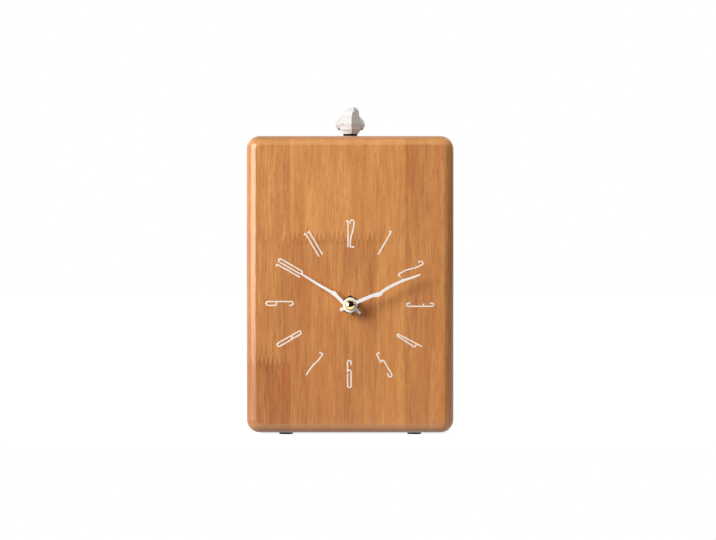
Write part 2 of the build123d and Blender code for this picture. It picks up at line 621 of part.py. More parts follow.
def third_wheel():
    wheel = gear(THIRD_WHEEL_TEETH, THIRD_MODULE, 0, THIRD, wheel_faces(THIRD_LEVEL))
    pinion_span = (pinion_faces(CENTRE_LEVEL)[0], wheel_faces(THIRD_LEVEL)[0])
    pinion = gear(THIRD_PINION_TEETH, CENTRE_MODULE, THIRD_PINION_PHASE, THIRD, pinion_span)
    return wheel + pinion + arbor(THIRD)


def seconds_wheel():
    """Runs on the hand shaft's axis, with its front pivot in the minute arbor."""
    wheel = gear(SECONDS_WHEEL_TEETH, SECONDS_MODULE, 0, SHAFT, wheel_faces(SECONDS_LEVEL))
    pinion_span = (pinion_faces(THIRD_LEVEL)[0], wheel_faces(SECONDS_LEVEL)[0])
    wheel += gear(SECONDS_PINION_TEETH, THIRD_MODULE, SECONDS_PINION_PHASE, SHAFT, pinion_span)
    wheel += rod(ARBOR_RADIUS, pinion_span[0], CHAMBER_REAR_Y - ARBOR_END_SHAKE, SHAFT)
    pivot_front = pinion_faces(CENTRE_LEVEL)[1] - PIVOT_LENGTH
    return wheel + rod(PIVOT_RADIUS, pivot_front, CHAMBER_REAR_Y + PIVOT_LENGTH, SHAFT)


def fifth_wheel():
    wheel = gear(FIFTH_WHEEL_TEETH, FIFTH_MODULE, 0, FIFTH, wheel_faces(FIFTH_LEVEL))
    pinion_span = (pinion_faces(SECONDS_LEVEL)[0], wheel_faces(FIFTH_LEVEL)[0])
    pinion = gear(FIFTH_PINION_TEETH, SECONDS_MODULE, FIFTH_PINION_PHASE, FIFTH, pinion_span)
    return wheel + pinion + arbor(FIFTH)


def rotor_pinion():
    pinion_span = (pinion_faces(FIFTH_LEVEL)[0], MAGNET_FRONT_Y)
    pinion = gear(ROTOR_PINION_TEETH, FIFTH_MODULE, ROTOR_PINION_PHASE, ROTOR, pinion_span)
    return pinion + arbor(ROTOR)


# Motor, board and battery


def rotor_magnet():
    return tube(MAGNET_RADIUS, ARBOR_RADIUS + SEAT_FIT, MAGNET_FRONT_Y, MAGNET_REAR_Y, ROTOR)


def stator():
    """Sheet round the rotor, with an arm to each end of the coil core."""
    hole = MAGNET_RADIUS + STATOR_AIR_GAP
    outline = Pos(*ROTOR) * Circle(hole + STATOR_RING)
    for end in STATOR_ENDS:
        length = math.dist(ROTOR, end)
        middle = ((ROTOR[0] + end[0]) / 2, (ROTOR[1] + end[1]) / 2)
        strip = Rectangle(length, 2 * STATOR_ARM_RADIUS)
        outline += Pos(*middle) * Rot(0, 0, direction(ROTOR, end)) * strip
        outline += Pos(*end) * Circle(STATOR_ARM_RADIUS)
    return plate(outline - Pos(*ROTOR) * Circle(hole), STATOR_FRONT_Y, STATOR_REAR_Y)


def motor_core():
    middle = Pos(CORE_Y, COIL_Z) * Rectangle(MOTOR_CORE_THICKNESS, MOTOR_CORE_WIDTH)
    half = MOTOR_CORE_LENGTH / 2
    return bar(middle, MOTOR_COIL_X - half, MOTOR_COIL_X + half)


def motor_spool_radius():
    half_diagonal = math.hypot(MOTOR_CORE_WIDTH / 2 + SEAT_FIT, MOTOR_CORE_THICKNESS / 2 + SEAT_FIT)
    return half_diagonal + SPOOL_WALL / 2


def motor_bobbin():
    at = Pos(CORE_Y, COIL_Z)
    left = MOTOR_COIL_X - MOTOR_COIL_LENGTH / 2
    right = MOTOR_COIL_X + MOTOR_COIL_LENGTH / 2
    spool = bar(at * Circle(motor_spool_radius()), left, right)
    spool += bar(at * Circle(MOTOR_COIL_RADIUS), left, left + SPOOL_WALL)
    spool += bar(at * Circle(MOTOR_COIL_RADIUS), right - SPOOL_WALL, right)
    bore = Rectangle(MOTOR_CORE_THICKNESS + 2 * SEAT_FIT, MOTOR_CORE_WIDTH + 2 * SEAT_FIT)
    return spool - bar(at * bore, left, right)


def motor_winding():
    half = MOTOR_COIL_LENGTH / 2 - SPOOL_WALL
    ring = Circle(MOTOR_COIL_RADIUS - SPOOL_WALL / 2) - Circle(motor_spool_radius())
    return bar(Pos(CORE_Y, COIL_Z) * ring, MOTOR_COIL_X - half, MOTOR_COIL_X + half)


def circuit_board():
    width = SHELL_WIDTH - 2 * (SHELL_WALL + BOARD_CLEARANCE)
    outline = Pos(0, BOARD_Z) * RectangleRounded(width, BOARD_HEIGHT, BOARD_CORNER_RADIUS)
    return plate(outline, BOARD_Y, BOARD_Y + BOARD_THICKNESS)


def quartz_crystal():
    middle = Pos(BOARD_Y - CRYSTAL_RADIUS, BOARD_Z) * Circle(CRYSTAL_RADIUS)
    return bar(middle, -CRYSTAL_LENGTH, 0)


def driver_chip():
    """Drop of resin over the chip."""
    radius = (CHIP_RADIUS**2 + CHIP_HEIGHT**2) / (2 * CHIP_HEIGHT)
    ball = Pos(CHIP_X, BOARD_Y + radius - CHIP_HEIGHT, BOARD_Z) * Sphere(radius)
    return ball & rod(radius, BOARD_Y - CHIP_HEIGHT, BOARD_Y, (CHIP_X, BOARD_Z))


def battery():
    """AA cell that lies across the bay, its positive nub to the right."""
    nub_right = BAY_LENGTH / 2 - CONTACT_THICKNESS
    right = nub_right - CELL_NUB_LENGTH
    left = nub_right - CELL_LENGTH
    at = Pos(CELL_Y, CELL_Z)
    can = bar(at * Circle(CELL_RADIUS), left, right)
    can = chamfer(can.edges().filter_by(GeomType.CIRCLE), CELL_EDGE)
    return can + bar(at * Circle(CELL_NUB_RADIUS), right, nub_right)


def contact_positive():
    rear = CELL_Y + CONTACT_WIDTH / 2
    x = BAY_LENGTH / 2 - CONTACT_THICKNESS / 2
    blade = Pos(x, CELL_Z) * Rectangle(CONTACT_THICKNESS, BAY_TOP_Z - BAY_BOTTOM_Z)
    return plate(blade, rear - CONTACT_WIDTH, rear) + contact_tail(1, 0)


def contact_negative():
    """Leaf on the left wall of the bay, bowed out to the cell."""
    wall_x = -BAY_LENGTH / 2
    half = (BAY_TOP_Z - BAY_BOTTOM_Z) / 2
    bowed = ThreePointArc((0, -half), (CONTACT_BOW, 0), (0, half))
    leaf = Pos(wall_x, CELL_Z) * make_face(
        bowed + Line((0, half), (CONTACT_THICKNESS, half))
        + Pos(CONTACT_THICKNESS, 0) * bowed + Line((CONTACT_THICKNESS, -half), (0, -half))
    )
    rear = CELL_Y + CONTACT_WIDTH / 2
    return plate(leaf, rear - CONTACT_WIDTH, rear) + contact_tail(-1, 0)


# Pendulum


def drive_bobbin():
    front = CHAMBER_REAR_Y - DRIVE_COIL_LENGTH
    bore = DRIVE_POST_RADIUS + SEAT_FIT
    spool = tube(bore + SPOOL_WALL, bore, front, CHAMBER_REAR_Y, DRIVE)
    spool += tube(DRIVE_COIL_RADIUS, bore, front, front + SPOOL_WALL, DRIVE)
    return spool + tube(DRIVE_COIL_RADIUS, bore, CHAMBER_REAR_Y - SPOOL_WALL, CHAMBER_REAR_Y, DRIVE)


def drive_winding():
    front = CHAMBER_REAR_Y - DRIVE_COIL_LENGTH + SPOOL_WALL
    bore = DRIVE_POST_RADIUS + SEAT_FIT + SPOOL_WALL
    return tube(DRIVE_COIL_RADIUS - SPOOL_WALL, bore, front, CHAMBER_REAR_Y - SPOOL_WALL, DRIVE)


HUB_FRONT_Y = SHELL_REAR_Y + PIN_BOSS_PROUD + HUB_END_SHAKE
HUB_REAR_Y = HUB_FRONT_Y + HUB_LENGTH
CLIP_REAR_Y = HUB_REAR_Y + HUB_END_SHAKE + CLIP_THICKNESS


def pivot_pin():
    return rod(PIN_RADIUS, CHAMBER_FRONT_Y, CLIP_REAR_Y + PIN_PROUD, PIVOT)


def pivot_clip():
    return tube(CLIP_RADIUS, PIN_RADIUS + SEAT_FIT, CLIP_REAR_Y - CLIP_THICKNESS, CLIP_REAR_Y, PIVOT)


def swing_arm():
    """Flat arm with a hub, a ring for the magnet below it and a tongue for the bird at its top."""
    ring_radius = DRIVE_MAGNET_RADIUS + ARM_RING
    outline = Pos(*DRIVE) * Circle(ring_radius) + Pos(*PIVOT) * Circle(HUB_RADIUS)
    outline += Pos(0, (DRIVE_Z + BIRD_Z) / 2) * Rectangle(ARM_WIDTH, BIRD_Z - DRIVE_Z)
    outline += Pos(0, BIRD_Z + TONGUE_HEIGHT / 2) * Rectangle(TONGUE_WIDTH, TONGUE_HEIGHT)
    outline -= Pos(*DRIVE) * Circle(DRIVE_MAGNET_RADIUS + SEAT_FIT)
    arm = plate(outline, ARM_FRONT_Y, ARM_REAR_Y)
    arm += rod(HUB_RADIUS, HUB_FRONT_Y, HUB_REAR_Y, PIVOT)
    return arm - rod(PIN_RADIUS + RUNNING_FIT, HUB_FRONT_Y, HUB_REAR_Y, PIVOT)


def swing_magnet():
    return rod(DRIVE_MAGNET_RADIUS, ARM_FRONT_Y - DRIVE_MAGNET_PROUD, ARM_REAR_Y, DRIVE)


def counterweight():
    disc = rod(WEIGHT_RADIUS, ARM_REAR_Y, ARM_REAR_Y + WEIGHT_THICKNESS, DRIVE)
    return chamfer(disc.faces().sort_by(Axis.Y)[-1].edges(), WEIGHT_EDGE)


def facets(a, b, c, d):
    """Two flat triangles on four corners, split along the shorter diagonal."""
    if math.dist(a, c) <= math.dist(b, d):
        corners = [(a, b, c), (a, c, d)]
    else:
        corners = [(a, b, d), (b, c, d)]
    return [Face(Wire.make_polygon(triangle)) for triangle in corners]


def faceted(rings):
    """Solid with flat facets through flat rings of points, all with as many points."""
    faces = [Face(Wire.make_polygon(ring)) for ring in (rings[0], rings[-1])]
    for ring, after in zip(rings, rings[1:]):
        for point in range(len(ring)):
            faces += facets(ring[point - 1], ring[point], after[point], after[point - 1])
    return Solid(Shell(faces))


def bird_slice(z, middle_x, half_width, ridge_x, ridge_y, flank_y, back_y):
    """Level slice through the body or the head, with a sharp breast and a flat back."""
    back_width = BIRD_BACK_SHARE * half_width
    return [
        (ridge_x, ridge_y, z),
        (middle_x + half_width, flank_y, z),
        (middle_x + back_width, back_y, z),
        (middle_x - back_width, back_y, z),
        (middle_x - half_width, flank_y, z),
    ]


def bird_point(y, x, z, half_width, half_height):
    """Upright diamond across the beak or the tail."""
    return [
        (x + half_width, y, z),
        (x, y, z + half_height),
        (x - half_width, y, z),
        (x, y, z - half_height),
    ]


def wing_section(y, share):
    """The fullest section of the right wing, shrunk towards its root."""
    root_x, root_z = BIRD_WING_ROOT
    return [
        (root_x + share * (x - root_x), y, root_z + share * (z - root_z)) for x, z in BIRD_WING_OUTLINE
    ]


def bird():
    """Moulded bird with flat facets, facing the front, on the tongue of the arm."""
    figure = faceted([bird_slice(*station) for station in BIRD_BODY])
    for stations in (BIRD_BEAK, BIRD_TAIL):
        figure += faceted([bird_point(*station) for station in stations])
    wing = faceted([wing_section(*station) for station in BIRD_WING])
    figure += [wing, mirror(wing, Plane.YZ)]
    tongue_hole = Box(
        TONGUE_WIDTH + 2 * SEAT_FIT,
        ARM_THICKNESS + 2 * SEAT_FIT,
        TONGUE_HEIGHT + SEAT_FIT,
        align=(Align.CENTER, Align.CENTER, Align.MIN),
    )
    return Pos(0, ARM_Y, BIRD_Z) * (figure - tongue_hole)


PIECES = [
    wood_case,
    foot_pads,
    hour_hand,
    minute_hand,
    cap_nut,
    hex_nut,
    rubber_washer,
    threaded_bush,
    movement_front_shell,
    movement_rear_shell,
    minute_arbor,
    hour_wheel,
    motion_wheel,
    setting_arbor,
    setting_knob,
    centre_wheel,
    third_wheel,
    seconds_wheel,
    fifth_wheel,
    rotor_pinion,
    rotor_magnet,
    stator,
    motor_core,
    motor_bobbin,
    motor_winding,
    circuit_board,
    quartz_crystal,
    driver_chip,
    battery,
    contact_positive,
    contact_negative,
    drive_bobbin,
    drive_winding,
    pivot_pin,
    pivot_clip,
    swing_arm,
    swing_magnet,
    counterweight,
    bird,
]

os.makedirs("parts", exist_ok=True)
for piece in PIECES:
    export_step(piece(), f"parts/{piece.__name__}.step")
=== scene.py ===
import json
import math

import bpy
from mathutils import Matrix, Vector
from mathutils.geometry import interpolate_bezier


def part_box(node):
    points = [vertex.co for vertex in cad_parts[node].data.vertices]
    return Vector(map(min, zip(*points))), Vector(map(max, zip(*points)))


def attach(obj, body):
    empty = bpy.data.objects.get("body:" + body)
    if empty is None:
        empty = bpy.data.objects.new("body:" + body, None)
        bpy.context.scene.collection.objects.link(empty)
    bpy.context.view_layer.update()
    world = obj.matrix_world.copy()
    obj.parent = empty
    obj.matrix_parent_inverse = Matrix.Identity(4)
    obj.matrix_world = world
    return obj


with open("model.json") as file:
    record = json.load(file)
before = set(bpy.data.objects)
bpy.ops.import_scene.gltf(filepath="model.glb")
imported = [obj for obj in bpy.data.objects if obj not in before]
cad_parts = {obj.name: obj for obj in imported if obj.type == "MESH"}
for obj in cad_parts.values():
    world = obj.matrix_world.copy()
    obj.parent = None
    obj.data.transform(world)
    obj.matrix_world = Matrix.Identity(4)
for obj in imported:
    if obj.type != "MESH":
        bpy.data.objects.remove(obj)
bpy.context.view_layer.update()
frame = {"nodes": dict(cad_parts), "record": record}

MM = 0.001

# Places read from the solids, in mm
CASE_LOW, CASE_HIGH = (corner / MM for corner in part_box("wood_case"))
CELL_LOW, CELL_HIGH = (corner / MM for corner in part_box("battery"))
BIRD_LOW, BIRD_HIGH = (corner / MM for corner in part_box("bird"))
NUT_LOW, NUT_HIGH = (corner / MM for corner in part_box("hex_nut"))
KNOB_LOW, KNOB_HIGH = (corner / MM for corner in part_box("setting_knob"))
SHELL_REAR = (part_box("movement_rear_shell")[1] / MM).y
SHAFT = (NUT_LOW + NUT_HIGH) / 2
KNOB = (KNOB_LOW + KNOB_HIGH) / 2

# Printed numerals, in mm: a digit stands on its baseline, with x counted from its middle
DIAL_HEIGHT = 77.8  # middle of the ring of numerals, above the case underside
DIAL_INNER_RADIUS = 33.8
DIAL_OUTER_RADIUS = 50.7
INK_STROKE = 0.9
INK_HEIGHT = 0.06


def loop(half_width, low, high):
    """Corners of a closed stroke, which starts halfway up its right side."""
    start = (half_width, (low + high) / 2)
    return [start, (half_width, low), (-half_width, low), (-half_width, high), (half_width, high), start]


# A stroke is rounded at its inner corners as far as its sides allow, and a sharp corner starts a new stroke
DIGITS = {
    "0": [loop(1.0, 0.4, 16.6)],
    "1": [[(-1.35, 15.7), (0, 16.4)], [(0, 16.4), (0, 0.3)]],
    "2": [
        [(-1.15, 14.4), (-1.15, 16.6), (1.15, 16.6), (1.15, 12.4), (-1, 5.2), (-1, 0.4)],
        [(-1, 0.4), (1.4, 0.4)],
    ],
    "3": [
        [(-0.9, 14.2), (-0.9, 16.4), (0.95, 16.4), (0.95, 0.3), (-0.9, 0.3), (-0.9, 2.5)],
        [(0.95, 10.4), (-0.7, 10.4)],
    ],
    "4": [[(-1.4, 4), (-0.7, 16.7), (0.4, 16.7), (1.1, 0.4)], [(-1.4, 4), (1, 3.9)]],
    "5": [
        [(1.3, 16.4), (-0.8, 16.6)],
        [(-0.8, 16.6), (-1.1, 10.9)],
        [(-1.1, 10.9), (-0.2, 11.6), (1.05, 11.4), (1.05, 0.4), (-1, 0.4), (-1, 3.6)],
    ],
    "6": [[
        (1.1, 14.2), (1.1, 16.6), (-1.1, 16.6), (-1.1, 0.4),
        (1.1, 0.4), (1.1, 10.8), (-1.1, 10.8), (-1.1, 8.6),
    ]],
    "7": [[(-1.4, 16.4), (1.15, 16.4)], [(1.15, 16.4), (0.9, 12.6), (-0.95, 6.6), (-1.25, 0.4)]],
    "8": [loop(1.0, 10.6, 16.6), loop(1.05, 0.4, 10.6)],
    "9": [[
        (-1.15, 2.8), (-1.15, 0.4), (1.15, 0.4), (1.15, 16.6),
        (-1.15, 16.6), (-1.15, 10.4), (1.15, 10.4), (1.15, 12.6),
    ]],
}
# Hour, digits with their place across the numeral, and whether the tops point away from the centre
NUMERALS = [
    (1, [("1", -0.2)], True),
    (2, [("2", 0.1)], True),
    (3, [("3", 0.5)], True),
    (4, [("4", -1.7)], False),
    (5, [("5", -0.5)], False),
    (6, [("6", -0.4)], False),
    (7, [("7", -0.2)], False),
    (8, [("8", -0.1)], False),
    (9, [("9", 0.25)], True),
    (10, [("1", -1.25), ("0", 1.6)], True),
    (11, [("1", -1.95), ("1", 0.5)], True),
    (12, [("1", -1.2), ("2", 1.2)], True),
]

# Boards of the case from left to right: left edge, feet of a low and a high finger joint above the case
# underside, in mm, then the tones of the wood from the lowest length up
NO_JOINT = -90.0  # under the case
BOARDS = [
    (-100.0, 40.0, 114.6, 0.37, 0.61, 0.68),
    (-36.0, NO_JOINT, 114.6, 0.57, 0.57, 0.84),
    (16.0, NO_JOINT, 114.6, 0.76, 0.76, 0.85),
    (33.0, NO_JOINT, NO_JOINT, 0.57, 0.57, 0.57),
    (47.5, NO_JOINT, NO_JOINT, 0.70, 0.70, 0.70),
]
BOARD_SHIFT = (170, 90, 310)  # in mm, how far apart the figures of two woods lie that differ by a whole tone
FINGER_PITCH = 2.66
FINGER_LENGTH = 5.6
FINGER_REACH = 0.46  # of the pitch, from the foot of a finger to its blunt tip
FINGER_BEND = 1.4  # over 1, so that the flanks bend in
GLUE_REACH = 2.0  # to each side of a joint, where the glue fades out
GLUE_STRENGTH = 1.35  # for each tone that the two woods differ by
# Figure of the wood: size across and along the grain in mm, and how far it shifts the tone
WOOD_FIGURE = [
    ((10.0, 10.0, 70.0), 0.14),  # growth bands
    ((2.2, 2.2, 36.0), 0.12),  # streaks
    ((0.7, 0.7, 14.0), 0.18),  # fibres, drawn twice as wide as they are, to show
]

# Marks printed on the back of the movement, in mm
MARK_STROKE = 0.6
MARK_REACH = 1.3  # half of a stroke of the plus and the minus
MARK_RISE = 3  # over the cell
MARK_INSET = 4  # from the ends of the cell
ARROW_RADIUS = 7.9  # about the setting knob
ARROW_DEGREES = range(100, 201, 10)
ARROW_BARBS = [(-0.9, 2.2), (2.0, 1.6)]  # from the tip

# Sleeve of the cell
COLLAR_START = 0.72  # of the cell's length, from its flat end
BARE_BUTTON = 1.5  # mm of bare steel at the positive end
BARE_BASE = 0.5

# Camera and light, in metres
VIEW_CENTRE = Vector((0.00475, 0, 0.0994))
VIEW_DISTANCE = 1.5  # from the case front
VIEW_WIDTH = 0.4306  # across the picture, at the case front
SENSOR_WIDTH = 36.0
LAMP_DISTANCE = 1.3
KEY_POWER = 16.7
STRIP_POWER = 26.7
CARD_DISTANCE = 0.14
CARD_POWER = 0.055
# Softboxes: degrees to the left of the front, degrees up, width and height
KEY_BOX = (46, 22, 0.6, 0.6)
STRIP_BOX = (57, 18, 1.0, 1.0)
CARD_BOX = (-75, 35, 0.08, 0.08)
AMBIENT = 0.31
FLOOR_SIZE = 8.0
FLOOR_FRONT = -0.12
FLOOR_GLOW = 0.88
FLAG_RADIUS = 2.0
FLAG_WING = 2.5  # to the right of the clock
FLAG_WING_CORNERS = [(-2, -1), (3, -1), (3, 3), (-2, 3)]  # y and z
# Arch of the flag: degrees from the front, up and over the clock, and the half width there
FLAG_ARCH = [(-40, 4.4), (0, 4.1), (40, 3.4), (75, 2.4), (104, 1.5)]


def linear(colour):
    """sRGB hex value as a linear colour."""
    parts = [int(colour[at:at + 2], 16) / 255 for at in (1, 3, 5)]
    return [part / 12.92 if part <= 0.04045 else ((part + 0.055) / 1.055) ** 2.4 for part in parts] + [1.0]


def add(tree, kind, inputs, **settings):
    """Adds a shader node. An input is a value, or the output that it is linked to."""
    node = tree.nodes.new("ShaderNode" + kind)
    for name, value in settings.items():
        setattr(node, name, value)
    for socket, value in inputs.items():
        if isinstance(value, bpy.types.NodeSocket):
            tree.links.new(value, node.inputs[socket])
        else:
            node.inputs[socket].default_value = value
    return next(output for output in node.outputs if output.enabled)


def start_finish(name, sockets):
    """New material with its tree, its shader with these sockets set, and the place on the clock in mm."""
    material = bpy.data.materials.new(name)
    material.use_nodes = True
    tree = material.node_tree
    shader = tree.nodes["Principled BSDF"]
    for socket, value in sockets.items():
        shader.inputs[socket].default_value = value
    rest = tree.nodes.new("ShaderNodeTexCoord").outputs["Object"]
    place = add(tree, "VectorMath", {0: rest, "Scale": 1 / MM}, operation="SCALE")
    return material, tree, shader, place


def link_finish(tree, shader, colour, roughness, relief, depth):
    """Links a finish to its shader, with its relief as a bump of a depth in mm."""
    bump = add(tree, "Bump", {"Strength": 0.3, "Distance": depth * MM, "Height": relief})
    for socket, value in {"Base Color": colour, "Roughness": roughness, "Normal": bump}.items():
        tree.links.new(value, shader.inputs[socket])


def seen_directly(tree):
    """1 for a look at a surface, straight, mirrored or through glass, and 0 for the light it gives."""
    path = tree.nodes.new("ShaderNodeLightPath").outputs
    seen = add(tree, "Math", {0: path["Is Camera Ray"], 1: path["Is Glossy Ray"]}, operation="MAXIMUM")
    return add(tree, "Math", {0: seen, 1: path["Is Transmission Ray"]}, operation="MAXIMUM")


def lay_boards(tree, x, height):
    """Tone of the wood at a place on the front, and how strongly the glue of a joint shows there."""
    # Joints and tones of the board that is here: each glue line steps on from the board to its left
    values = BOARDS[0][1:]
    for board, last in zip(BOARDS[1:], BOARDS):
        reached = add(tree, "Math", {0: x, 1: board[0]}, operation="GREATER_THAN")
        values = [
            add(tree, "Math", {0: reached, 1: here - before, 2: value}, operation="MULTIPLY_ADD")
            for here, before, value in zip(board[1:], last[1:], values)
        ]
    low_joint, high_joint, shade, middle_tone, high_tone = values

    # The fingers of the lower wood point up into the upper wood, with a soft line of glue between
    finger = add(tree, "Math", {0: x, 1: FINGER_PITCH / 2}, operation="PINGPONG")
    finger = add(tree, "MapRange", {"Value": finger, "From Max": FINGER_REACH * FINGER_PITCH})
    finger = add(tree, "Math", {0: finger, 1: FINGER_BEND}, operation="POWER")
    glue = 0.0
    for joint, upper in ((low_joint, middle_tone), (high_joint, high_tone)):
        edge = add(tree, "Math", {0: finger, 1: FINGER_LENGTH, 2: joint}, operation="MULTIPLY_ADD")
        above = add(tree, "Math", {0: height, 1: edge}, operation="SUBTRACT")
        contrast = add(tree, "Math", {0: upper, 1: shade}, operation="SUBTRACT")
        gap = add(tree, "Math", {0: above}, operation="ABSOLUTE")
        line = add(tree, "MapRange", {
            "Value": gap, "From Max": GLUE_REACH, "To Min": GLUE_STRENGTH, "To Max": 0.0,
        })
        glue = add(tree, "Math", {0: line, 1: contrast, 2: glue}, operation="MULTIPLY_ADD")
        share = add(tree, "MapRange", {"Value": above, "From Min": -0.5, "From Max": 0.0})
        shade = add(tree, "Mix", {0: share, 2: shade, 3: upper})
    return shade, glue


def finger_jointed_wood():
    """Rubberwood glued up from finger-jointed boards, sanded round and sprayed with satin lacquer.

    Each board has its own tone, fine straight grain runs up the clock, and a joint is a row of soft points.
    """
    material, tree, shader, place = start_finish("lacquered_rubberwood", {"IOR": 1.5})
    from_base = add(tree, "VectorMath", {0: place, 1: (0, 0, CASE_LOW.z)}, operation="SUBTRACT")
    axes = tree.nodes.new("ShaderNodeSeparateXYZ")
    tree.links.new(from_base, axes.inputs[0])
    x, height = axes.outputs["X"], axes.outputs["Z"]
    facing = tree.nodes.new("ShaderNodeSeparateXYZ")
    tree.links.new(tree.nodes.new("ShaderNodeNewGeometry").outputs["Normal"], facing.inputs[0])
    upright = add(tree, "Math", {0: facing.outputs["Z"]}, operation="ABSOLUTE")

    shade, glue = lay_boards(tree, x, height)

    # Each board's own figure, which is calmer on the end grain
    own_place = add(tree, "VectorMath", {0: shade, 1: BOARD_SHIFT, 2: place}, operation="MULTIPLY_ADD")
    calm = add(tree, "MapRange", {
        "Value": upright, "From Min": 0.1, "From Max": 0.6, "To Min": 1.0, "To Max": 0.4,
    })
    for size, shift in WOOD_FIGURE:
        cells = add(tree, "VectorMath", {0: own_place, 1: size}, operation="DIVIDE")
        figure = add(tree, "TexNoise", {"Vector": cells, "Scale": 1.0, "Detail": 2.0, "Roughness": 0.6})
        moved = add(tree, "MapRange", {
            "Value": figure, "From Min": 0.3, "From Max": 0.7, "To Min": -shift, "To Max": shift,
        })
        shade = add(tree, "Math", {0: moved, 1: calm, 2: shade}, operation="MULTIPLY_ADD")
    fibres = figure
    colour = add(tree, "Mix", {0: shade, 6: linear("#9A5434"), 7: linear("#E9A35F")}, data_type="RGBA")

    # Redder patches 7 mm wide, and pores 0.5 mm wide and 5 mm long
    cells = add(tree, "VectorMath", {0: own_place, 1: (7, 7, 40)}, operation="DIVIDE")
    patches = add(tree, "TexNoise", {"Vector": cells, "Scale": 1.0, "Detail": 1.0})
    redness = add(tree, "MapRange", {"Value": patches, "From Min": 0.45, "From Max": 0.7, "To Max": 0.4})
    colour = add(tree, "Mix", {0: redness, 6: colour, 7: linear("#CB7842")}, data_type="RGBA")
    cells = add(tree, "VectorMath", {0: own_place, 1: (0.5, 0.5, 5)}, operation="DIVIDE")
    pores = add(tree, "TexNoise", {"Vector": cells, "Scale": 1.0, "Detail": 1.0})
    pores = add(tree, "MapRange", {"Value": pores, "From Min": 0.61, "From Max": 0.73, "To Max": 0.45})
    pores = add(tree, "Math", {0: pores, 1: calm}, operation="MULTIPLY")
    colour = add(tree, "Mix", {0: pores, 6: colour, 7: linear("#955628")}, data_type="RGBA")
    colour = add(tree, "Mix", {0: glue, 6: colour, 7: linear("#8A4B28")}, data_type="RGBA")

    # Painted sheen: where the rounding tilts up or down its colour is paler, standing in for the lacquer's
    # sheen, and end grain is darker
    painted_sheen = add(tree, "MapRange", {"Value": upright, "From Min": 0.15, "From Max": 0.35, "To Max": 0.22})
    colour = add(tree, "Mix", {0: painted_sheen, 6: colour, 7: linear("#E4B47D")}, data_type="RGBA")
    # Growth rings 2.6 mm apart on the end grain
    rings = add(tree, "TexWave", {
        "Vector": own_place, "Scale": 0.12, "Distortion": 9.0, "Detail": 2.0, "Detail Scale": 0.25,
    }, bands_direction="Y")
    ends = add(tree, "Mix", {0: rings, 6: linear("#A06238"), 7: linear("#88522E")}, data_type="RGBA")
    end_grain = add(tree, "MapRange", {"Value": upright, "From Min": 0.6, "From Max": 0.9, "To Max": 0.6})
    colour = add(tree, "Mix", {0: end_grain, 6: colour, 7: ends}, data_type="RGBA")

    gloss = add(tree, "MapRange", {
        "Value": fibres, "From Min": 0.3, "From Max": 0.7, "To Min": 0.27, "To Max": 0.21,
    })
    relief = add(tree, "Math", {0: fibres, 1: pores}, operation="SUBTRACT")
    link_finish(tree, shader, colour, gloss, relief, 0.04)
    return material


def speckled(name, colours, speck, sockets, gloss, depth):
    """Material whose colour, roughness and relief vary with one fine speckle of a size in mm."""
    material, tree, shader, place = start_finish(name, sockets)
    specks = add(tree, "TexNoise", {"Vector": place, "Scale": 1 / speck, "Detail": 3.0})
    share = add(tree, "MapRange", {"Value": specks, "From Min": 0.3, "From Max": 0.7})
    colour = add(tree, "Mix", {0: share, 6: linear(colours[0]), 7: linear(colours[1])}, data_type="RGBA")
    roughness = add(tree, "MapRange", {"Value": share, "To Min": gloss[0], "To Max": gloss[1]})
    link_finish(tree, shader, colour, roughness, specks, depth)
    return material


def turned_brass():
    """Turned and polished brass: pale yellow metal with fine rings from the lathe about the hand shaft."""
    material, tree, shader, place = start_finish("turned_brass", {"Metallic": 1.0})
    from_shaft = add(tree, "VectorMath", {0: place, 1: SHAFT}, operation="SUBTRACT")
    across = add(tree, "VectorMath", {0: from_shaft, 1: (1, 0, 1)}, operation="MULTIPLY")
    radius = tree.nodes.new("ShaderNodeVectorMath")
    radius.operation = "LENGTH"
    tree.links.new(across, radius.inputs[0])
    # Tool marks 0.12 mm apart
    rings = add(tree, "TexNoise", {"W": radius.outputs["Value"], "Scale": 1 / 0.12}, noise_dimensions="1D")
    tarnish = add(tree, "TexNoise", {"Vector": place, "Scale": 1 / 2.5, "Detail": 3.0})
    share = add(tree, "MapRange", {"Value": tarnish, "From Min": 0.35, "From Max": 0.7})
    colour = add(tree, "Mix", {0: share, 6: linear("#F3EABB"), 7: linear("#E7D695")}, data_type="RGBA")
    gloss = add(tree, "MapRange", {
        "Value": rings, "From Min": 0.3, "From Max": 0.7, "To Min": 0.08, "To Max": 0.16,
    })
    link_finish(tree, shader, colour, gloss, rings, 0.01)
    return material


def plated_steel():
    """Zinc-plated steel, drawn or stamped: bright grey with fine lines and a cloudy plating."""
    material, tree, shader, place = start_finish("zinc_plated_steel", {"Metallic": 1.0})
    cells = add(tree, "VectorMath", {0: place, 1: (0.15, 3, 3)}, operation="DIVIDE")
    lines = add(tree, "TexNoise", {"Vector": cells, "Scale": 1.0, "Detail": 2.0})
    cloud = add(tree, "TexNoise", {"Vector": place, "Scale": 1 / 3, "Detail": 3.0})
    share = add(tree, "MapRange", {"Value": cloud, "From Min": 0.3, "From Max": 0.7})
    colour = add(tree, "Mix", {0: share, 6: linear("#C9CBCB"), 7: linear("#A6A8AC")}, data_type="RGBA")
    gloss = add(tree, "MapRange", {
        "Value": lines, "From Min": 0.3, "From Max": 0.7, "To Min": 0.22, "To Max": 0.38,
    })
    link_finish(tree, shader, colour, gloss, lines, 0.02)
    return material


